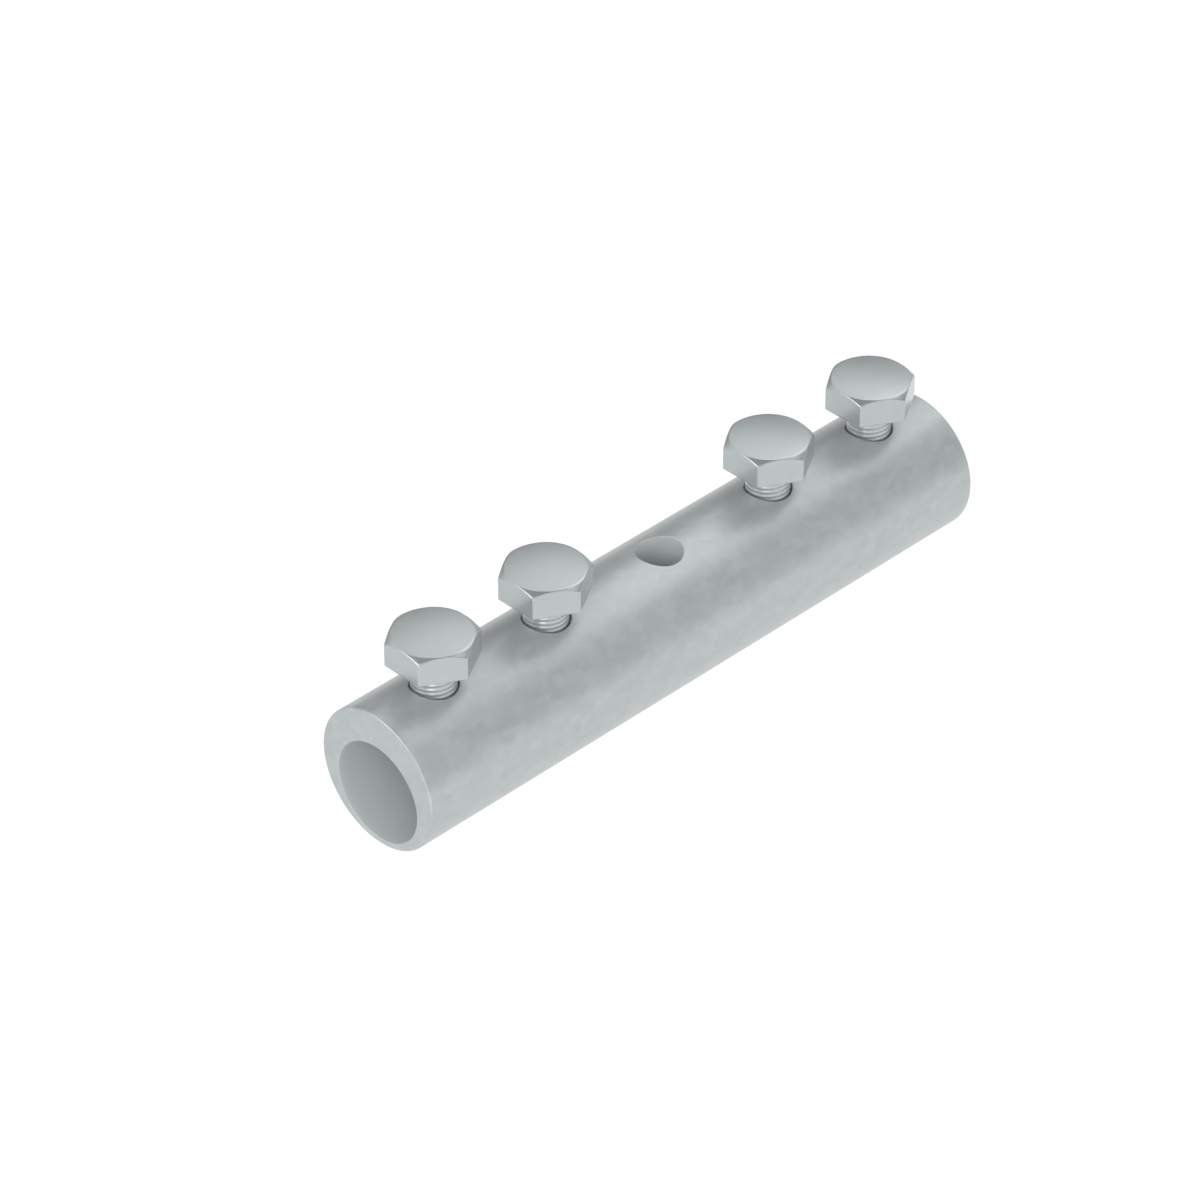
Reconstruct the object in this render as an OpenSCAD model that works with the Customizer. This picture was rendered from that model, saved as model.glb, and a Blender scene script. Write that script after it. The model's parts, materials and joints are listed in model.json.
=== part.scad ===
// Earthing connector: a steel sleeve with an off-centre bore and a row of five holes in its roof.
// The bore lies low in the sleeve, so that the roof is thick enough to carry the threads of four
// hexagon clamping bolts, and the floor is thin. The hole midway stays open as a sight hole.
// Millimetres. +X runs along the sleeve and +Z points to the bolts. The origin is on the axis of
// the bore, halfway along it.

/* [Sleeve] */
// Outside diameter of the sleeve
sleeve_d = 24; // [22:0.5:34]
// Length of the sleeve
sleeve_l = 120; // [100:1:200]
// Diameter of the bore, which runs right through the sleeve
bore_d = 17.2; // [10:0.2:18]
// Wall left under the bore, where it is thinnest
floor_wall = 1; // [0.6:0.1:2]
// Bevel round the outer edge of each end face
end_bevel = 0.3; // [0.1:0.05:0.5]

/* [Holes] */
// Distance from each end of the sleeve to the nearest bolt hole
end_distance = 12; // [6:0.5:24]
// Distance between the two bolt holes of each pair
hole_pitch = 23.5; // [16:0.5:32]
// Diameter of the open sight hole midway, and of the mouth of each bolt hole
hole_d = 7.8; // [7.5:0.1:9]
// Depth of the wide mouth of a bolt hole, before its thread begins
mouth_depth = 1.5; // [0.5:0.1:2.4]

/* [Bolts] */
// Outside diameter of the bolt's thread
thread_d = 7.2; // [5:0.1:7.3]
// Length of the bolt under its head
bolt_l = 16; // [10:0.5:20]
// Width of the hexagon head across its flats
head_af = 13; // [10:0.5:15]
// Height of the head
head_h = 5; // [3:0.1:7]
// Bevel at the top corners of the head, inwards
head_bevel = 1.05; // [0.3:0.05:1.4]
// The same bevel, downwards
head_bevel_drop = 0.8; // [0.2:0.05:1.4]
// Rise of the crowned top from its rim to its middle
crown_h = 0.25; // [0.1:0.05:0.6]
// Bevel round the bolt's tip
tip_bevel = 0.8; // [0.3:0.1:1.5]
// Gap between the sleeve and the underside of the head, with the bolts as supplied
stand_off = 4.5; // [0.5:0.1:8]
// Play between the bolt's thread and its hole, on the radius
thread_play = 0.05; // [0.02:0.01:0.1]

/* [Hidden] */
$fn = 128;

// The sleeve's own axis lies above the bore's by as much as the roof is thicker than the floor
sleeve_r = sleeve_d / 2;
sleeve_z = sleeve_r - bore_d / 2 - floor_wall;
sleeve_top = sleeve_z + sleeve_r;

// Places of the four bolts along the sleeve: each pair keeps its distance from its own end
outer_x = sleeve_l / 2 - end_distance;
inner_x = outer_x - hole_pitch;
bolt_xs = [-outer_x, -inner_x, inner_x, outer_x];

core_d = thread_d + 2 * thread_play;
over = 1; // how far a cut runs past the face that it opens

hex_sides = 6;
head_corner_r = head_af / 2 / cos(180 / hex_sides);
rim_r = head_corner_r - head_bevel;
crown_r = (rim_r * rim_r + crown_h * crown_h) / (2 * crown_h);

// A round bar along +Z from the origin, with both of its end edges bevelled
module bevelled_bar(r, l, low_bevel, high_bevel) {
    rotate_extrude()
        polygon([[0, 0], [r - low_bevel, 0], [r, low_bevel],
                 [r, l - high_bevel], [r - high_bevel, l], [0, l]]);
}

// One hole of the row, cut from the bore up through the roof of the sleeve
module roof_hole(x, d) {
    translate([x, 0, 0])
        cylinder(d = d, h = sleeve_top + over);
}

// The wide mouth above the thread of a bolt hole
module hole_mouth(x) {
    translate([x, 0, sleeve_top - mouth_depth])
        cylinder(d = hole_d, h = mouth_depth + over);
}

module sleeve() {
    color([0.70, 0.73, 0.72])
        difference() {
            translate([-sleeve_l / 2, 0, sleeve_z])
                rotate([0, 90, 0])
                    bevelled_bar(sleeve_r, sleeve_l, end_bevel, end_bevel);
            translate([-sleeve_l / 2 - over, 0, 0])
                rotate([0, 90, 0])
                    cylinder(d = bore_d, h = sleeve_l + 2 * over);
            roof_hole(0, hole_d);
            for (x = bolt_xs) {
                roof_hole(x, core_d);
                hole_mouth(x);
            }
        }
}

// Outline that the head is turned to: bevelled corners under a crowned top
module head_envelope() {
    rotate_extrude()
        intersection() {
            polygon([[0, 0], [head_corner_r, 0], [head_corner_r, head_h - crown_h - head_bevel_drop],
                     [rim_r, head_h - crown_h], [rim_r, head_h], [0, head_h]]);
            translate([0, head_h - crown_r])
                circle(r = crown_r, $fn = 720);
        }
}

// Hexagon head on the plane z = 0, with two of its flats square to the row of bolts
module bolt_head() {
    intersection() {
        rotate([0, 0, 180 / hex_sides])
            cylinder(r = head_corner_r, h = head_h, $fn = hex_sides);
        head_envelope();
    }
}

module bolt(x) {
    color([0.78, 0.80, 0.80])
        translate([x, 0, sleeve_top + stand_off]) {
            bolt_head();
            translate([0, 0, -bolt_l])
                bevelled_bar(thread_d / 2, bolt_l, tip_bevel, 0);
        }
}

module bolt_1() { bolt(bolt_xs[0]); }
module bolt_2() { bolt(bolt_xs[1]); }
module bolt_3() { bolt(bolt_xs[2]); }
module bolt_4() { bolt(bolt_xs[3]); }

sleeve();
bolt_1();
bolt_2();
bolt_3();
bolt_4();
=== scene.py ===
import json
import math

import bmesh
import bpy
import numpy as np
from mathutils import Matrix, Vector


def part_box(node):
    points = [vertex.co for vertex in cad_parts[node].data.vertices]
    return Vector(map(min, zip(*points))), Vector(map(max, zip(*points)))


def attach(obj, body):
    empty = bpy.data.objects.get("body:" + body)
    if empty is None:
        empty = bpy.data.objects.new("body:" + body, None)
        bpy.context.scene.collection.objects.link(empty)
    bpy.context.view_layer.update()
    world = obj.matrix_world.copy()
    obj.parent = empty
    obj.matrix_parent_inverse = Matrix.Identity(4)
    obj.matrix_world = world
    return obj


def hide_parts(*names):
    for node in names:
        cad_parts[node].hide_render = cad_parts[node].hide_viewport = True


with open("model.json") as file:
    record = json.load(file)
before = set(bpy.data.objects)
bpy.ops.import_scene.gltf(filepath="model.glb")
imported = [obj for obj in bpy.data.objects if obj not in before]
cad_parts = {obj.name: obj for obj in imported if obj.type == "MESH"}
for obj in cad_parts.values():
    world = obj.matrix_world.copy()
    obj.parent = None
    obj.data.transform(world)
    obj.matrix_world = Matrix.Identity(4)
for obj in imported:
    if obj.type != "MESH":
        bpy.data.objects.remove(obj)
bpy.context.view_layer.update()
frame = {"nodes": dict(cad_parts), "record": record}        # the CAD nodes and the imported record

mm = 0.001
print("frame loaded")

# Sizes that the solids already fix
sleeveLow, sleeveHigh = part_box("sleeve")
boreMount = next(m for m in frame["record"]["mounts"] if m["kind"] == "slide")
holeMount = next(m for m in frame["record"]["mounts"] if m["kind"] == "bore")
boltNames = sorted(name for name in frame["nodes"] if name.startswith("bolt_"))
boltBoxes = {name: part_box(name) for name in boltNames}
boltXs = [(low.x + high.x) / 2 for low, high in boltBoxes.values()]
halfLength = sleeveHigh.x
outerRadius = (sleeveHigh.z - sleeveLow.z) / 2
outerAxisZ = (sleeveHigh.z + sleeveLow.z) / 2
boreRadius = boreMount["dims"]["r_mm"] * mm
holeRadius = holeMount["dims"]["r_mm"] * mm


# Surface helpers: every surface is an array of points, rows by columns by three

def stackRows(rows, angles, centreX):
    # Rows of radius and height round an upright axis, at x = centreX: a surface of revolution whose
    # radius and height may both change with the angle
    radius = np.stack([np.broadcast_to(r, angles.shape) for r, z in rows])
    height = np.stack([np.broadcast_to(z, angles.shape) for r, z in rows])
    return np.stack([centreX + radius * np.cos(angles), radius * np.sin(angles), height], axis=-1)


def wrapOnBar(x, angle, radius, axisZ):
    # A point of a bar along X: the angle runs from the top of the bar towards +Y
    return np.stack([x, radius * np.sin(angle), axisZ + radius * np.cos(angle)], axis=-1)


def gridFaces(rows, columns):
    # The quads between neighbouring rows and columns, counted row by row
    corner = np.arange(rows * columns).reshape(rows, columns)
    quads = np.stack([corner[:-1, :-1], corner[:-1, 1:], corner[1:, 1:], corner[1:, :-1]], axis=-1)
    return quads.reshape(-1, 4)


def makePiece(name, patches, body, node, material, creaseAngle):
    # Joins the patches where their edges meet and turns all the faces outwards. A patch is its
    # points, its faces (or None for a plain grid) and the mask that its points carry
    points = np.concatenate([p.reshape(-1, 3) for p, faces, mask in patches])
    masks = np.concatenate([np.broadcast_to(mask, p.shape[:-1]).ravel() for p, faces, mask in patches])
    quads = []
    start = 0
    for p, faces, mask in patches:
        quads.append((gridFaces(*p.shape[:2]) if faces is None else faces) + start)
        start += p.size // 3
    quads = np.concatenate(quads)
    mesh = bpy.data.meshes.new(name)
    mesh.vertices.add(len(points))
    mesh.vertices.foreach_set("co", points.astype(np.float32).ravel())
    mesh.loops.add(quads.size)
    mesh.loops.foreach_set("vertex_index", quads.astype(np.int32).ravel())
    mesh.polygons.add(len(quads))
    mesh.polygons.foreach_set("loop_start", np.arange(0, quads.size, 4, dtype=np.int32))
    mesh.update(calc_edges=True)
    recess = mesh.attributes.new("recess", "FLOAT", "POINT")    # 1 on a thread and in a hole or bore
    recess.data.foreach_set("value", masks.astype(np.float32))
    work = bmesh.new()
    work.from_mesh(mesh)
    bmesh.ops.remove_doubles(work, verts=work.verts, dist=0.0005 * mm)
    bmesh.ops.dissolve_degenerate(work, edges=work.edges, dist=0.0005 * mm)
    bmesh.ops.recalc_face_normals(work, faces=work.faces)
    openEdges = sum(1 for e in work.edges if len(e.link_faces) != 2)
    work.to_mesh(mesh)
    work.free()
    mesh.polygons.foreach_set("use_smooth", np.ones(len(mesh.polygons), dtype=bool))
    mesh.set_sharp_from_angle(angle=math.radians(creaseAngle))
    mesh.materials.append(material)
    piece = bpy.data.objects.new(name, mesh)
    bpy.context.scene.collection.objects.link(piece)
    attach(piece, body)
    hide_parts(node)
    print(name, len(mesh.polygons), "faces,", openEdges, "open edges")
    return piece


# Shader helpers

def addNode(tree, kind, settings=None, inputs=None):
    # A node with its settings; an input is either a fixed value or the socket that feeds it
    node = tree.nodes.new(kind)
    for key, value in (settings or {}).items():
        setattr(node, key, value)
    for key, value in (inputs or {}).items():
        if isinstance(value, bpy.types.NodeSocket):
            tree.links.new(value, node.inputs[key])
        else:
            node.inputs[key].default_value = value
    return node


def blendColours(tree, factor, low, high):
    mix = addNode(tree, "ShaderNodeMix", {"data_type": "RGBA"})
    for socket, value in zip((mix.inputs[0], mix.inputs[6], mix.inputs[7]), (factor, low, high)):
        if isinstance(value, bpy.types.NodeSocket):
            tree.links.new(value, socket)
        else:
            socket.default_value = value
    return mix.outputs[2]


def stretchRange(tree, value, fromLow, fromHigh, toLow, toHigh, smooth=False):
    kind = "SMOOTHSTEP" if smooth else "LINEAR"
    return addNode(tree, "ShaderNodeMapRange", {"interpolation_type": kind},
                   {"Value": value, "From Min": fromLow, "From Max": fromHigh,
                    "To Min": toLow, "To Max": toHigh}).outputs[0]


def combine(tree, operation, *values):
    node = addNode(tree, "ShaderNodeMath", {"operation": operation})
    for socket, value in zip(node.inputs, values):
        if isinstance(value, bpy.types.NodeSocket):
            tree.links.new(value, socket)
        else:
            socket.default_value = value
    return node.outputs[0]


def newGroup(name, inputs, outputs):
    group = bpy.data.node_groups.new(name, "ShaderNodeTree")
    for label, kind, value in inputs:
        socket = group.interface.new_socket(label, in_out="INPUT", socket_type=kind)
        if value is not None:
            socket.default_value = value
    for label in outputs:
        group.interface.new_socket(label, in_out="OUTPUT", socket_type="NodeSocketFloat")
    return group, group.nodes.new("NodeGroupInput"), group.nodes.new("NodeGroupOutput")


def zincSpangleGroup():
    # The frozen crystals of a hot-dip zinc coat: soft cells and streaks, stretched along the bar
    group, given, result = newGroup("zincSpangle", [
        ("Vector", "NodeSocketVector", None), ("Cell Size", "NodeSocketFloat", 3 * mm),
        ("Streak Size", "NodeSocketFloat", 1.2 * mm), ("Cloud Size", "NodeSocketFloat", 14 * mm),
        ("Stretch", "NodeSocketFloat", 0.7)], ["Tone", "Sheen", "Height"])
    scale = addNode(group, "ShaderNodeCombineXYZ", None, {"X": given.outputs["Stretch"], "Y": 1.0, "Z": 1.0})
    stretched = addNode(group, "ShaderNodeVectorMath", {"operation": "MULTIPLY"},
                        {0: given.outputs["Vector"], 1: scale.outputs[0]}).outputs[0]
    perCell = combine(group, "DIVIDE", 1.0, given.outputs["Cell Size"])
    perStreak = combine(group, "DIVIDE", 1.0, given.outputs["Streak Size"])
    perCloud = combine(group, "DIVIDE", 1.0, given.outputs["Cloud Size"])
    wobble = addNode(group, "ShaderNodeTexNoise", None,
                     {"Vector": stretched, "Scale": perCell, "Detail": 2.0}).outputs["Color"]
    centred = addNode(group, "ShaderNodeVectorMath", {"operation": "SUBTRACT"},
                      {0: wobble, 1: (0.5, 0.5, 0.5)}).outputs[0]
    reach = combine(group, "MULTIPLY", given.outputs["Cell Size"], 0.9)
    shift = addNode(group, "ShaderNodeVectorMath", {"operation": "SCALE"},
                    {0: centred, "Scale": reach}).outputs[0]
    moved = addNode(group, "ShaderNodeVectorMath", {"operation": "ADD"}, {0: stretched, 1: shift}).outputs[0]
    cells = addNode(group, "ShaderNodeTexVoronoi", {"feature": "SMOOTH_F1"},
                    {"Vector": moved, "Scale": perCell, "Smoothness": 0.52})
    cellTone = addNode(group, "ShaderNodeSeparateColor", None, {"Color": cells.outputs["Color"]}).outputs[0]
    streak = addNode(group, "ShaderNodeTexNoise", None,
                     {"Vector": stretched, "Scale": perStreak, "Detail": 3.0, "Roughness": 0.55}).outputs[0]
    cloud = addNode(group, "ShaderNodeTexNoise", None,
                    {"Vector": given.outputs["Vector"], "Scale": perCloud, "Detail": 2.0}).outputs[0]
    cellShare, streakShare, cloudShare = 0.35, 0.45, 0.20
    detail = combine(group, "ADD", combine(group, "MULTIPLY", cellTone, cellShare),
                     combine(group, "MULTIPLY", streak, streakShare))
    tone = combine(group, "ADD", detail, combine(group, "MULTIPLY", cloud, cloudShare))
    group.links.new(tone, result.inputs["Tone"])
    group.links.new(combine(group, "ADD", combine(group, "MULTIPLY", cellTone, 0.5),
                            combine(group, "MULTIPLY", cloud, 0.5)), result.inputs["Sheen"])
    group.links.new(detail, result.inputs["Height"])
    return group


def fineGrainGroup():
    # The fine unevenness of a plated or cast metal skin
    group, given, result = newGroup("fineGrain", [
        ("Vector", "NodeSocketVector", None), ("Grain Size", "NodeSocketFloat", 0.4 * mm),
        ("Blotch Size", "NodeSocketFloat", 3 * mm)], ["Grain", "Blotch"])
    perGrain = combine(group, "DIVIDE", 1.0, given.outputs["Grain Size"])
    perBlotch = combine(group, "DIVIDE", 1.0, given.outputs["Blotch Size"])
    grain = addNode(group, "ShaderNodeTexNoise", None,
                    {"Vector": given.outputs["Vector"], "Scale": perGrain, "Detail": 2.0}).outputs[0]
    blotch = addNode(group, "ShaderNodeTexNoise", None,
                     {"Vector": given.outputs["Vector"], "Scale": perBlotch, "Detail": 2.0}).outputs[0]
    group.links.new(grain, result.inputs["Grain"])
    group.links.new(blotch, result.inputs["Blotch"])
    return group


zincSpangle = zincSpangleGroup()
fineGrain = fineGrainGroup()


def newMaterial(name):
    material = bpy.data.materials.new(name)
    material.use_nodes = True
    tree = material.node_tree
    tree.nodes.clear()
    shader = addNode(tree, "ShaderNodeBsdfPrincipled")
    result = addNode(tree, "ShaderNodeOutputMaterial")
    tree.links.new(shader.outputs[0], result.inputs["Surface"])
    place = addNode(tree, "ShaderNodeTexCoord").outputs["Object"]
    recess = addNode(tree, "ShaderNodeAttribute", {"attribute_name": "recess"}).outputs["Fac"]
    return material, tree, shader, place, recess


# Sleeve: finish, then shape

zincLook = {
    "dull": (0.424, 0.457, 0.456, 1.0),         # the darker crystals
    "bright": (0.475, 0.509, 0.508, 1.0),       # the lighter crystals
    "matt": (0.590, 0.630, 0.628, 1.0),         # zinc in the bore and the holes: matt zinc, made lighter as painted light that lifts the shade inside them
    "cellSize": 1.5 * mm,
    "streakSize": 1.2 * mm,
    "cloudSize": 11 * mm,
    "roughness": (0.325, 0.37),
    "mattRoughness": 0.59,
    "metallic": (0.36, 0.15),        # on the skin and in the holes; the rest scatters light
    "waviness": 0.004 * mm,
}


def galvanisedMaterial(look):
    material, tree, shader, place, recess = newMaterial("galvanisedSteel")
    spangle = addNode(tree, "ShaderNodeGroup", {"node_tree": zincSpangle},
                      {"Vector": place, "Cell Size": look["cellSize"],
                       "Streak Size": look["streakSize"], "Cloud Size": look["cloudSize"]})
    grain = addNode(tree, "ShaderNodeGroup", {"node_tree": fineGrain}, {"Vector": place})
    spread = stretchRange(tree, spangle.outputs["Tone"], 0.30, 0.70, 0.0, 1.0)
    coat = blendColours(tree, spread, look["dull"], look["bright"])
    # In the bore and the holes the coat turns to the lighter matt colour: matt zinc, and painted light that
    # lifts the shade there
    tree.links.new(blendColours(tree, recess, coat, look["matt"]), shader.inputs["Base Color"])
    sheen = stretchRange(tree, spangle.outputs["Sheen"], 0.25, 0.75, *look["roughness"])
    rougher = combine(tree, "MULTIPLY", recess, look["mattRoughness"] - look["roughness"][1])
    tree.links.new(combine(tree, "ADD", sheen, rougher), shader.inputs["Roughness"])
    tree.links.new(stretchRange(tree, recess, 0.0, 1.0, *look["metallic"]), shader.inputs["Metallic"])
    height = combine(tree, "ADD", spangle.outputs["Height"],
                     combine(tree, "MULTIPLY", grain.outputs["Grain"], 0.15))
    bump = addNode(tree, "ShaderNodeBump", None,
                   {"Strength": 0.5, "Distance": look["waviness"], "Height": height})
    tree.links.new(bump.outputs[0], shader.inputs["Normal"])
    return material


sleeveShape = {
    "endRounding": 0.30 * mm,        # round of the outer edge of each end face
    "boreRounding": 0.12 * mm,       # round of the bore's mouth
    "holeRounding": 0.05 * mm,       # round of each hole's edge
    "mouthDepth": 1.5 * mm,          # depth of the wide mouth of a bolt hole
    "coreRadius": 3.65 * mm,         # radius of a bolt hole inside its thread
    "grooveDepth": 0.18 * mm,        # depth of that thread
    "pitch": 0.8 * mm,               # rise of that thread in one turn
    "skinHalfAngle": math.radians(40),      # half width of the patch round each hole, on the outside
    "boreHalfAngle": math.radians(60),      # the same in the bore
    "patchSteps": 24,                # divisions along each side of that patch
    "patchRings": 12,                # rings from the hole to the patch's border
    "backSteps": 100,                # divisions round the rest of the sleeve
    "arcSteps": 4,                   # divisions of each rounded edge
    "wallRings": 44,                 # rings down a threaded wall
}


def squareRing(steps):
    # Evenly spaced points of a square of half width 1, once round from its corner at +x, -y
    side = np.linspace(-1, 1, steps + 1)[:-1]
    one = np.ones(steps)
    x = np.concatenate([one, -side, -one, side, [1.0]])
    y = np.concatenate([side, one, -side, -one, [-1.0]])
    return x, y


def holePatch(centreX, edgeRadius, halfWidth, halfAngle, radius, axisZ, shape):
    # Skin round a hole: straight lines, on the unrolled bar, from the hole's edge to a square border
    squareX, squareY = squareRing(shape["patchSteps"])
    angles = np.linspace(-math.pi / 4, 7 * math.pi / 4, 4 * shape["patchSteps"] + 1)
    share = (np.linspace(0, 1, shape["patchRings"] + 1) ** 1.4)[:, None]
    x = (1 - share) * edgeRadius * np.cos(angles) + share * halfWidth * squareX
    turn = (1 - share) * np.arcsin(edgeRadius * np.sin(angles) / radius) + share * halfAngle * squareY
    return wrapOnBar(centreX + x, turn, radius, axisZ)


def backSkin(patchWidth, count, halfAngle, radius, axisZ, shape):
    # Skin away from the holes: a plain grid along the bar and round its back
    lengthSteps = count * shape["patchSteps"]
    x = np.linspace(-count * patchWidth / 2, count * patchWidth / 2, lengthSteps + 1)
    turn = np.linspace(halfAngle, 2 * math.pi - halfAngle, shape["backSteps"] + 1)
    grid = np.meshgrid(x, turn)
    return wrapOnBar(grid[0], grid[1], radius, axisZ)


def ringAngles(halfAngle, shape):
    # The angles at which the skins' points lie at the ends of the bar, once round
    front = np.linspace(-halfAngle, halfAngle, shape["patchSteps"] + 1)
    back = np.linspace(halfAngle, 2 * math.pi - halfAngle, shape["backSteps"] + 1)
    return np.concatenate([front, back[1:]])


def endFace(side, skinEnd, boreEnd, shape):
    # End face: rings that turn over the rounded outer edge, cross to the bore and turn into it
    outerTurn = ringAngles(shape["skinHalfAngle"], shape)
    boreTurn = ringAngles(shape["boreHalfAngle"], shape)
    outerRound, boreRound = shape["endRounding"], shape["boreRounding"]
    rows = []
    for arc in np.linspace(0, math.pi / 2, shape["arcSteps"] + 1):
        radius = outerRadius - outerRound * (1 - math.cos(arc))
        x = np.full(outerTurn.shape, side * (skinEnd + outerRound * math.sin(arc)))
        rows.append(wrapOnBar(x, outerTurn, radius, outerAxisZ))
    lastOuter = rows[-1]
    faceX = np.full(boreTurn.shape, side * (boreEnd + boreRound))
    firstBore = wrapOnBar(faceX, boreTurn, boreRadius + boreRound, 0.0)
    for share in (0.04, 0.35, 0.65, 0.96):
        rows.append((1 - share) * lastOuter + share * firstBore)
    for arc in np.linspace(0, math.pi / 2, shape["arcSteps"] + 1):
        radius = boreRadius + boreRound * (1 - math.sin(arc))
        x = np.full(boreTurn.shape, side * (boreEnd + boreRound * math.cos(arc)))
        rows.append(wrapOnBar(x, boreTurn, radius, 0.0))
    return np.stack(rows)


def skinHeight(y):
    return outerAxisZ + np.sqrt(outerRadius ** 2 - y ** 2)


def roofHeight(y):
    return np.sqrt(boreRadius ** 2 - y ** 2)


def holeWall(centreX, lowRadius, threaded, shape):
    # Wall of a hole: over its rounded edge, down its mouth, in over a step if it is threaded, then
    # down to the bore. A thread's radius swings as a cosine of height less turn
    angles = np.linspace(-math.pi / 4, 7 * math.pi / 4, 4 * shape["patchSteps"] + 1)
    edge = shape["holeRounding"]
    arcs = np.linspace(0, math.pi / 2, shape["arcSteps"] + 1)
    mouthFloor = outerAxisZ + outerRadius - shape["mouthDepth"]
    rows = []
    for arc in arcs:
        radius = holeRadius + edge * (1 - math.sin(arc))
        rows.append((radius, skinHeight(radius * np.sin(angles)) - edge * (1 - math.cos(arc))))
    upper = rows[-1][1]
    lowRing = lowRadius + edge * (1 - math.cos(arcs[0]))
    lower = roofHeight(lowRing * np.sin(angles)) + edge
    if threaded:
        for share in (0.5, 1.0):
            rows.append((holeRadius, (1 - share) * upper + share * mouthFloor))
        rows.append((lowRadius, np.full(angles.shape, mouthFloor)))
        for share in np.linspace(0, 1, shape["wallRings"] + 1)[1:]:
            height = (1 - share) * mouthFloor + share * lower
            fade = min(1.0, share / 0.1, (1 - share) / 0.1)
            swing = 0.5 - 0.5 * np.cos(2 * math.pi * height / shape["pitch"] - angles)
            rows.append((lowRadius + fade * shape["grooveDepth"] * swing, height))
    else:
        for share in np.linspace(0, 1, 9)[1:]:
            rows.append((lowRadius, (1 - share) * upper + share * lower))
    for arc in arcs[1:]:
        radius = lowRadius + edge * (1 - math.cos(arc))
        rows.append((radius, roofHeight(radius * np.sin(angles)) + edge * (1 - math.sin(arc))))
    return stackRows(rows, angles, centreX), len(arcs)


def buildSleeve(shape, material):
    holeXs = sorted(boltXs + [0.0])
    count = len(holeXs)
    skinEnd = halfLength - shape["endRounding"]
    boreEnd = halfLength - shape["boreRounding"]
    edge = shape["holeRounding"]
    patches = []
    for side, radius, axisZ, halfAngle, end in (
            ("skin", outerRadius, outerAxisZ, shape["skinHalfAngle"], skinEnd),
            ("bore", boreRadius, 0.0, shape["boreHalfAngle"], boreEnd)):
        inside = 0.0 if side == "skin" else 1.0
        patchWidth = 2 * end / count
        for i, x in enumerate(holeXs):
            threaded = x in boltXs
            edgeRadius = (shape["coreRadius"] if threaded and side == "bore" else holeRadius) + edge
            patchX = (i - (count - 1) / 2) * patchWidth
            patch = holePatch(0.0, edgeRadius, patchWidth / 2, halfAngle, radius, axisZ, shape)
            share = (np.linspace(0, 1, shape["patchRings"] + 1) ** 1.4)[:, None]
            patch[..., 0] += (1 - share) * x + share * patchX
            patches.append((patch, None, inside))
        patches.append((backSkin(patchWidth, count, halfAngle, radius, axisZ, shape), None, inside))
    for x in holeXs:
        threaded = x in boltXs
        wall, edgeRows = holeWall(x, shape["coreRadius"] if threaded else holeRadius, threaded, shape)
        mask = np.ones(wall.shape[:2])
        mask[:edgeRows] = np.linspace(0, mask[0, 0], edgeRows)[:, None]
        patches.append((wall, None, mask))
    for side in (-1, 1):
        face = endFace(side, skinEnd, boreEnd, shape)
        mask = np.zeros(face.shape[:2])
        mask[-shape["arcSteps"] - 1:] = np.linspace(0, 1, shape["arcSteps"] + 1)[:, None]
        patches.append((face, None, mask))
    return makePiece("galvanisedSleeve", patches, "sleeve", "sleeve", material, 40)


zincSteel = galvanisedMaterial(zincLook)
buildSleeve(sleeveShape, zincSteel)


# Bolts: finish, then shape

platingLook = {
    "dull": (0.452, 0.486, 0.486, 1.0),
    "bright": (0.470, 0.505, 0.505, 1.0),
    # The thread's colour is lighter than the head's: a duller plating, and painted light that lifts the shade
    # under the head
    "thread": (0.520, 0.555, 0.555, 1.0),
    "grainSize": 0.35 * mm,
    "blotchSize": 3 * mm,
    "roughness": (0.19, 0.23),
    "threadRoughness": 0.36,
    "metallic": (0.62, 0.70),        # on the head, and on the duller thread
    "unevenness": 0.0015 * mm,
}


def platedMaterial(look):
    material, tree, shader, place, recess = newMaterial("platedSteel")
    grain = addNode(tree, "ShaderNodeGroup", {"node_tree": fineGrain},
                    {"Vector": place, "Grain Size": look["grainSize"], "Blotch Size": look["blotchSize"]})
    spread = stretchRange(tree, grain.outputs["Blotch"], 0.3, 0.7, 0.0, 1.0)
    coat = blendColours(tree, spread, look["dull"], look["bright"])
    # On the thread the coat turns to the lighter thread colour: duller plating, and painted light against the
    # shade under the head
    tree.links.new(blendColours(tree, recess, coat, look["thread"]), shader.inputs["Base Color"])
    satin = stretchRange(tree, grain.outputs["Blotch"], 0.25, 0.75, *look["roughness"])
    rougher = combine(tree, "MULTIPLY", recess, look["threadRoughness"] - look["roughness"][0])
    tree.links.new(combine(tree, "ADD", satin, rougher), shader.inputs["Roughness"])
    bump = addNode(tree, "ShaderNodeBump", None,
                   {"Strength": 0.4, "Distance": look["unevenness"], "Height": grain.outputs["Grain"]})
    tree.links.new(bump.outputs[0], shader.inputs["Normal"])
    tree.links.new(stretchRange(tree, recess, 0.0, 1.0, *look["metallic"]), shader.inputs["Metallic"])
    return material


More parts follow.
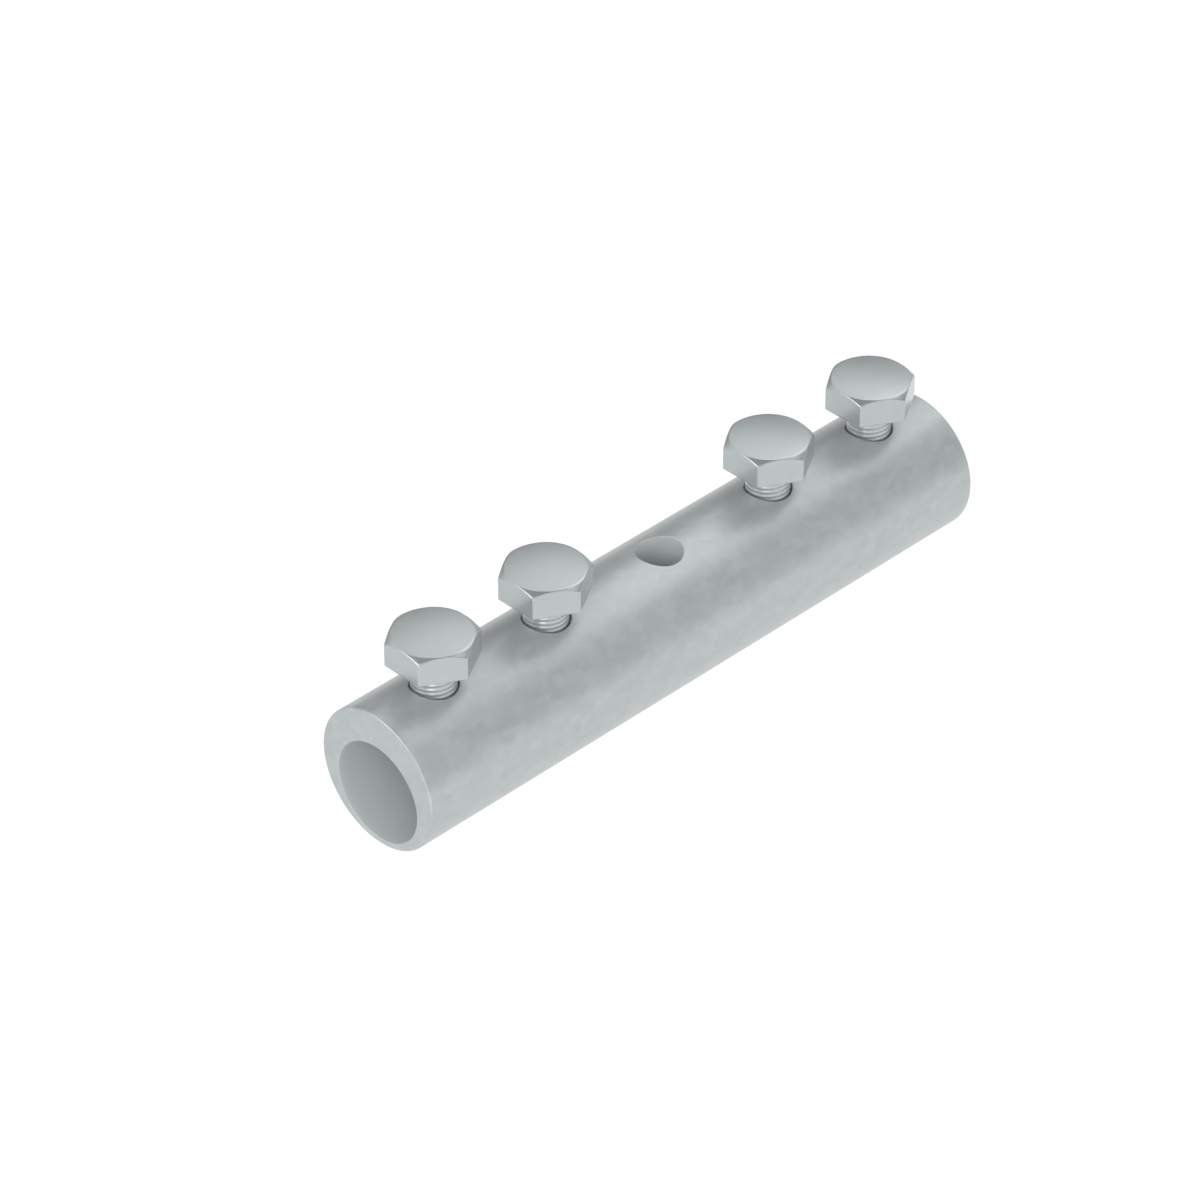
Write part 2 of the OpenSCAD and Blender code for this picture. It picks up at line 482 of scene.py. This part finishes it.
boltShape = {
    "headHeight": 5.0 * mm,
    "headBevel": 1.05 * mm,          # from the corners in to the rim of the top
    "bevelDrop": 0.80 * mm,          # from that rim down to the corners
    "crownRise": 0.25 * mm,          # from that rim up to the middle of the top
    "cornerRounding": 0.45 * mm,     # round of the six upright edges
    "edgeRounding": (0.12 * mm, 0.60 * mm),      # between flats and turned top: mid-flat, corner
    "shoulder": 0.70 * mm,           # round between the bevel and the crowned top
    "underRounding": 0.15 * mm,      # round of the lower edge of the head
    "threadRadius": 3.6 * mm,
    "threadDepth": 0.06 * mm,
    "pitch": 0.8 * mm,
    "neckRadius": 3.42 * mm,         # plain neck where the thread runs out under the head
    "neckLength": 0.5 * mm,
    "neckFillet": 0.25 * mm,
    "tipBevel": 0.8 * mm,
    "cornerSteps": 5,                # divisions of half a rounded upright edge
    "flatSteps": 8,                  # divisions across a flat
    "threadSteps": 8,                # divisions across one turn's profile
    "arcSteps": 5,
    "topSteps": 12,                  # divisions of the bevel and shoulder
}


def hexSector(apothem, rounding):
    # Half width in angle of a flat, up to where the rounded upright edge begins, and how far out
    # the centre of that round lies
    centre = (apothem - rounding) / math.cos(math.pi / 6)
    return math.atan(centre * math.sin(math.pi / 6) / apothem), centre


def hexAngles(apothem, shape):
    # Angles once round the hexagon, close together at its rounded edges
    flatHalf, centre = hexSector(apothem, shape["cornerRounding"])
    support = math.radians(1.0)
    corner = np.linspace(-math.pi / 6, -flatHalf, shape["cornerSteps"] + 1)[:-1]
    flat = np.linspace(-flatHalf + support, flatHalf - support, shape["flatSteps"] + 1)
    sector = np.concatenate([corner, [-flatHalf], flat, [flatHalf], -corner[:0:-1]])
    turns = np.arange(6)[:, None] * math.pi / 3
    return np.append((turns + sector).ravel(), 11 * math.pi / 6)


def hexRadius(angles, apothem, rounding):
    # Distance from the axis to the hexagon: apothem over the cosine on a flat, and near a corner
    # the far side of a circle whose centre lies on the corner's line
    flatHalf, centre = hexSector(apothem, rounding)
    local = (angles + math.pi / 6) % (math.pi / 3) - math.pi / 6
    offCorner = math.pi / 6 - np.abs(local)
    halfChord = np.sqrt(np.maximum(rounding ** 2 - (centre * np.sin(offCorner)) ** 2, 0))
    rounded = centre * np.cos(offCorner) + halfChord
    return np.where(np.abs(local) <= flatHalf, apothem / np.cos(local), rounded)


def turnedTop(radius, inset, rimRadius, rimZ, shape):
    # Height and slope of the turned outline that cuts off the hexagon, moved inwards by inset: the
    # sphere of the crown, the circle of the shoulder that touches it inside, and the straight bevel
    # that touches the shoulder. The slope is the angle from level to the outline's normal
    crown = (rimRadius ** 2 + shape["crownRise"] ** 2) / (2 * shape["crownRise"])
    crownZ = rimZ + shape["crownRise"] - crown
    shoulder = shape["shoulder"]
    bevel = math.atan2(shape["bevelDrop"], shape["headBevel"])
    reach = rimRadius * math.sin(bevel) + (rimZ - crownZ) * math.cos(bevel) - shoulder
    lean = bevel - math.acos(reach / (crown - shoulder))
    shoulderR = (crown - shoulder) * math.sin(lean)
    shoulderZ = crownZ + (crown - shoulder) * math.cos(lean)
    crown, shoulder = crown - inset, shoulder - inset
    onBevel = radius > shoulderR + shoulder * math.sin(bevel)
    onCrown = radius < shoulderR * crown / (crown - shoulder)
    arc = np.arccos(np.clip((radius - shoulderR) / shoulder, 0, 1))
    bevelZ = rimZ - inset / math.cos(bevel) - (radius - rimRadius) * math.tan(bevel)
    height = np.where(onBevel, bevelZ, shoulderZ + shoulder * np.sin(arc))
    height = np.where(onCrown, crownZ + np.sqrt(crown ** 2 - radius ** 2), height)
    slope = np.where(onBevel, math.pi / 2 - bevel, np.where(onCrown, np.arccos(radius / crown), arc))
    return height, slope, shoulderR


def headRows(angles, underZ, shape, apothem):
    # The head's outline in each upright plane through the axis, from the neck out and up to the
    # middle of the crowned top. A circle rolled along inside the flat and the turned top rounds
    # the edge between them
    hexOut = hexRadius(angles, apothem, shape["cornerRounding"])
    cornerShare = (hexOut - apothem) / (hexOut.max() - apothem)
    edge = (1 - cornerShare) * shape["edgeRounding"][0] + cornerShare * shape["edgeRounding"][1]
    under, fillet, neck = shape["underRounding"], shape["neckFillet"], shape["neckRadius"]
    rimRadius = apothem / math.cos(math.pi / 6) - shape["headBevel"]
    rimZ = underZ + shape["headHeight"] - shape["crownRise"]
    rows = []
    for arc in np.linspace(0, math.pi / 2, shape["arcSteps"] + 1):
        rows.append((neck + fillet * (1 - math.cos(arc)), underZ - fillet * (1 - math.sin(arc))))
    for share in (0.08, 0.5, 0.92):
        rows.append(((1 - share) * (neck + fillet) + share * (hexOut - under), underZ))
    for arc in np.linspace(-math.pi / 2, 0, shape["arcSteps"] + 1):
        rows.append((hexOut - under + under * math.cos(arc), underZ + under + under * math.sin(arc)))
    rollZ, slope, shoulderR = turnedTop(hexOut - edge, edge, rimRadius, rimZ, shape)
    for share in (0.06, 0.5, 0.94):
        rows.append((hexOut, (1 - share) * (underZ + under) + share * rollZ))
    for share in np.linspace(0, 1, shape["arcSteps"] + 1):
        rows.append((hexOut - edge + edge * np.cos(share * slope), rollZ + edge * np.sin(share * slope)))
    start = rows[-1][0]
    for share in np.linspace(0, 1, shape["topSteps"] + 1)[1:]:
        radius = (1 - share) * start + share * shoulderR
        rows.append((radius, turnedTop(radius, 0, rimRadius, rimZ, shape)[0]))
    for share in np.concatenate([[0.97], np.linspace(0.9, 0, 10)]):
        rows.append((shoulderR * share, turnedTop(shoulderR * share, 0, rimRadius, rimZ, shape)[0]))
    return rows


def threadPatch(angles, centreX, lowZ, highZ, shape):
    # A thread as one long strip of profile that climbs a pitch in each turn. Its radius swings as a
    # cosine across the strip, and a cone at the tip and the neck at the top cut it off
    steps = shape["threadSteps"]
    turn = angles[:-1] - angles[0]
    rise = shape["pitch"] * turn / (2 * math.pi)
    rowCount = int(math.ceil((highZ - lowZ) / shape["pitch"] + 1)) * steps + 1
    level = lowZ + shape["pitch"] * (np.arange(rowCount)[:, None] / steps - 1) + rise
    phase = np.arange(rowCount)[:, None] / steps
    height = np.clip(level, lowZ, highZ)
    phase = phase + (height - level) / shape["pitch"]
    swing = 0.5 - 0.5 * np.cos(2 * math.pi * phase)
    runOut = np.clip((highZ - height) / shape["pitch"], 0, 1)
    crest = shape["neckRadius"] + (shape["threadRadius"] - shape["neckRadius"]) * np.minimum(1, 2 * runOut)
    radius = crest - shape["threadDepth"] * swing * runOut
    cone = shape["threadRadius"] - shape["tipBevel"] + (height - lowZ)
    radius = np.minimum(radius, cone)
    points = np.stack([centreX + radius * np.cos(angles[:-1]), radius * np.sin(angles[:-1]), height], axis=-1)
    corner = np.arange(rowCount * len(turn)).reshape(rowCount, len(turn))
    seam = np.stack([corner[:-1 - steps, -1], corner[steps:-1, 0], corner[1 + steps:, 0],
                     corner[1:-steps, -1]], axis=-1)
    return points, np.concatenate([gridFaces(rowCount, len(turn)), seam])


def buildBolt(name, shape, material):
    low, high = boltBoxes[name]
    centreX = (low.x + high.x) / 2
    apothem = (high.x - low.x) / 2
    angles = hexAngles(apothem, shape)
    underZ = high.z - shape["headHeight"]
    neckZ = underZ - shape["neckFillet"] - shape["neckLength"]
    thread, threadFaces = threadPatch(angles, centreX, low.z, neckZ, shape)
    tipRadius = shape["threadRadius"] - shape["tipBevel"]
    tip = stackRows([(tipRadius * share, low.z) for share in (0, 0.5, 0.95, 1)], angles, centreX)
    neck = stackRows([(shape["neckRadius"], neckZ), (shape["neckRadius"], underZ - shape["neckFillet"])],
                     angles, centreX)
    head = stackRows(headRows(angles, underZ, shape, apothem), angles, centreX)
    patches = [(tip, None, 0.0), (thread, threadFaces, 1.0), (neck, None, 0.0), (head, None, 0.0)]
    return makePiece("plated_" + name, patches, name, name, material, 42)


platedSteel = platedMaterial(platingLook)
for name in boltNames:
    buildBolt(name, boltShape, platedSteel)


# Studio: camera, floor, lamps and background

cameraPlace = {
    "azimuth": math.radians(-44.92),
    "elevation": math.radians(36.40),
    "distance": 781.8 * mm,
    "aside": -9.13 * mm,             # of the aim, to the camera's right, from the sleeve's own axis
    "above": 1.81 * mm,              # of the aim, to the camera's top
    "lens": 149.94,
    "sensor": 36.0,
}


def addCamera(place):
    a, e = place["azimuth"], place["elevation"]
    back = Vector((math.sin(a) * math.cos(e), -math.cos(a) * math.cos(e), math.sin(e)))
    right = Vector((math.cos(a), math.sin(a), 0))
    up = back.cross(right)
    aim = Vector((0, 0, outerAxisZ)) + right * place["aside"] + up * place["above"]
    data = bpy.data.cameras.new("camera")
    data.lens = place["lens"]
    data.sensor_width = place["sensor"]
    camera = bpy.data.objects.new("camera", data)
    camera.matrix_world = Matrix.Translation(aim + back * place["distance"]) @ Matrix(
        (right, up, back)).transposed().to_4x4()
    bpy.context.scene.collection.objects.link(camera)
    bpy.context.scene.camera = camera


studio = {
    "floorBelow": 90 * mm,           # from the lowest point of the part
    "floorHalf": 3.0,
    "floorColour": (0.80, 0.80, 0.80, 1.0),
    "floorLift": 0.252,              # added for the background's white
    "sideLevel": 0.78,               # of the soft light from around the part
    "overheadLevel": 0.76,           # and from straight above, where the bolt heads would block it
}

# The grey cards that stand round the part: at each azimuth, counted from +X towards +Y, how grey
# they are, up to which elevation they are whole, and where they have faded out. One more hangs overhead
greyCards = {
    "distance": 1.4,
    "lowest": -6,
    "highest": 89.9,
    "rows": 97,
    "columns": 145,
    "azimuths": (0, 15, 38, 46, 54, 65, 80, 120, 160, 190, 220, 250, 285, 313, 340),
    "greys": (0.60, 0.55, 0.20, 0.08, 0.08, 0.12, 0.30, 0.60, 0.70, 0.70, 0.35, 0.30, 0.25, 0.12, 0.30),
    "wholeTo": (12, 8, 24, 22, 25, 27, 22, 10, 6, 4, 10, 18, 28, 40, 36),
    "goneAt": (44, 36, 39, 37, 46, 52, 46, 30, 24, 22, 26, 32, 44, 55, 54),
    "lowLift": 0.40,                 # how much lighter they are near the floor, below lowFrom
    "lowFrom": 18,
    "overhead": 0.14,
    "overheadFrom": (62, 62, 62, 62, 62, 62, 62, 58, 54, 45, 42, 50, 62, 62, 62),
    "overheadEdge": 8,               # width over which the overhead card fades in
    "spotAt": (45, 42),              # azimuth and elevation of a brighter spot, which the heads mirror
    "spotRadius": 12,
    "spotLift": 0.20,
}


def seenDirectly(tree):
    # 1 for rays from the camera, from a reflection or through glass, which see the white background
    path = addNode(tree, "ShaderNodeLightPath")
    mirrored = combine(tree, "MAXIMUM", path.outputs["Is Glossy Ray"], path.outputs["Is Transmission Ray"])
    return combine(tree, "MAXIMUM", path.outputs["Is Camera Ray"], mirrored)


def addFloor(look):
    half = look["floorHalf"]
    z = sleeveLow.z - look["floorBelow"]
    mesh = bpy.data.meshes.new("floor")
    corners = [(-half, -half, z), (half, -half, z), (half, half, z), (-half, half, z)]
    mesh.from_pydata(corners, [], [(0, 1, 2, 3)])
    floor = bpy.data.objects.new("floor", mesh)
    bpy.context.scene.collection.objects.link(floor)
    material = bpy.data.materials.new("paleFloor")
    material.use_nodes = True
    tree = material.node_tree
    tree.nodes.clear()
    matt = addNode(tree, "ShaderNodeBsdfDiffuse", None, {"Color": look["floorColour"]})
    lift = addNode(tree, "ShaderNodeEmission", None,
                   {"Strength": combine(tree, "MULTIPLY", seenDirectly(tree), look["floorLift"])})
    lit = addNode(tree, "ShaderNodeAddShader", None, {0: matt.outputs[0], 1: lift.outputs[0]})
    clear = addNode(tree, "ShaderNodeBsdfTransparent")
    below = addNode(tree, "ShaderNodeNewGeometry").outputs["Backfacing"]
    surface = addNode(tree, "ShaderNodeMixShader", None, {0: below, 1: lit.outputs[0], 2: clear.outputs[0]})
    result = addNode(tree, "ShaderNodeOutputMaterial", None, {"Surface": surface.outputs[0]})
    mesh.materials.append(material)
    return result


def addWorld(look):
    world = bpy.data.worlds.new("studioWhite")
    world.use_nodes = True
    tree = world.node_tree
    tree.nodes.clear()
    towards = addNode(tree, "ShaderNodeTexCoord").outputs["Generated"]
    upwards = addNode(tree, "ShaderNodeSeparateXYZ", None, {"Vector": towards}).outputs["Z"]
    level = stretchRange(tree, upwards, 0.45, 0.95, look["sideLevel"], look["overheadLevel"], smooth=True)
    soft = addNode(tree, "ShaderNodeBackground", None, {"Color": (1, 1, 1, 1), "Strength": level})
    white = addNode(tree, "ShaderNodeBackground", None, {"Color": (1, 1, 1, 1), "Strength": 1.0})
    mix = addNode(tree, "ShaderNodeMixShader", None,
                  {0: seenDirectly(tree), 1: soft.outputs[0], 2: white.outputs[0]})
    addNode(tree, "ShaderNodeOutputWorld", None, {"Surface": mix.outputs[0]})
    bpy.context.scene.world = world


def easeIn(share):
    share = np.clip(share, 0, 1)
    return share ** 2 * (3 - 2 * share)


def addGreyCards(look):
    # A dome that only reflections see, white with grey cards on it, so that the metal has something
    # to mirror. Its point at azimuth a and elevation e is distance times
    # (cos a cos e, sin a cos e, sin e)
    azimuth = np.linspace(0, 360, look["columns"])
    greys, wholeTo, goneAt, overheadFrom = (np.interp(azimuth, look["azimuths"], look[key], period=360)
                                            for key in ("greys", "wholeTo", "goneAt", "overheadFrom"))
    elevation = np.linspace(look["lowest"], look["highest"], look["rows"])[:, None]
    a, e = np.radians(azimuth), np.radians(elevation)
    points = look["distance"] * np.stack([np.cos(a) * np.cos(e), np.sin(a) * np.cos(e),
                                          np.broadcast_to(np.sin(e), (len(e), len(a)))], axis=-1)
    level = 1 - (1 - greys) * easeIn((goneAt - elevation) / (goneAt - wholeTo))
    level = level + (1 - level) * look["lowLift"] * easeIn((look["lowFrom"] - elevation) / look["lowFrom"])
    level = level - (level - look["overhead"]) * easeIn((elevation - overheadFrom) / look["overheadEdge"])
    spotA, spotE = (math.radians(angle) for angle in look["spotAt"])
    cosine = np.cos(a - spotA) * np.cos(e) * math.cos(spotE) + np.sin(e) * math.sin(spotE)
    apart = np.arccos(np.clip(cosine, -1, 1))
    level = level + look["spotLift"] * easeIn(1 - np.degrees(apart) / look["spotRadius"])
    mesh = bpy.data.meshes.new("greyCards")
    mesh.from_pydata(points.reshape(-1, 3).tolist(), [], gridFaces(*points.shape[:2]).tolist())
    mesh.attributes.new("level", "FLOAT", "POINT").data.foreach_set("value", level.astype(np.float32).ravel())
    cards = bpy.data.objects.new("greyCards", mesh)
    cards.visible_camera = False
    cards.visible_diffuse = False
    cards.visible_shadow = False
    bpy.context.scene.collection.objects.link(cards)
    material = bpy.data.materials.new("greyCard")
    material.use_nodes = True
    material.cycles.emission_sampling = "NONE"
    tree = material.node_tree
    tree.nodes.clear()
    grey = addNode(tree, "ShaderNodeAttribute", {"attribute_name": "level"}).outputs["Color"]
    glow = addNode(tree, "ShaderNodeEmission", None, {"Color": grey, "Strength": 1.0})
    addNode(tree, "ShaderNodeOutputMaterial", None, {"Surface": glow.outputs[0]})
    mesh.materials.append(material)


# Soft lamps that face the part: azimuth from +X towards +Y and elevation in degrees, sizes in metres.
# Some are seen only in reflections, and some only light the duller share of the surface
lamps = {
    "highLamp": {"azimuth": 12, "elevation": 52, "distance": 0.9, "width": 0.6, "height": 0.4,
                 "radiance": 0.75},
    "frontLamp": {"azimuth": 215, "elevation": 32, "distance": 1.3, "width": 0.72, "height": 0.72,
                  "radiance": 3.6, "mirrored": False},
    "rightLamp": {"azimuth": 300, "elevation": 30, "distance": 1.3, "width": 0.60, "height": 0.60,
                  "radiance": 1.4, "mirrored": False},
    "leftLamp": {"azimuth": 165, "elevation": 26, "distance": 0.9, "width": 0.70, "height": 0.50,
                 "radiance": 2.4, "scattered": False},
    "slimLamp": {"azimuth": 208, "elevation": -14, "distance": 0.30, "width": 0.05, "height": 0.12,
                 "radiance": 6.0, "scattered": False},
}


def addLamp(name, azimuth, elevation, distance, width, height, radiance, mirrored=True, scattered=True):
    a, e = math.radians(azimuth), math.radians(elevation)
    toLamp = Vector((math.cos(a) * math.cos(e), math.sin(a) * math.cos(e), math.sin(e)))
    data = bpy.data.lights.new(name, "AREA")
    data.shape = "RECTANGLE"
    data.size = width
    data.size_y = height
    data.energy = radiance * math.pi * width * height
    lamp = bpy.data.objects.new(name, data)
    lamp.location = toLamp * distance
    lamp.rotation_mode = "QUATERNION"
    lamp.rotation_quaternion = toLamp.to_track_quat("Z", "Y")
    lamp.visible_camera = False
    lamp.visible_glossy = mirrored
    lamp.visible_diffuse = scattered
    bpy.context.scene.collection.objects.link(lamp)


addCamera(cameraPlace)
addFloor(studio)
addWorld(studio)
addGreyCards(greyCards)
for name, lamp in lamps.items():
    addLamp(name, **lamp)
bpy.context.scene.view_settings.view_transform = "Standard"
print("studio set")
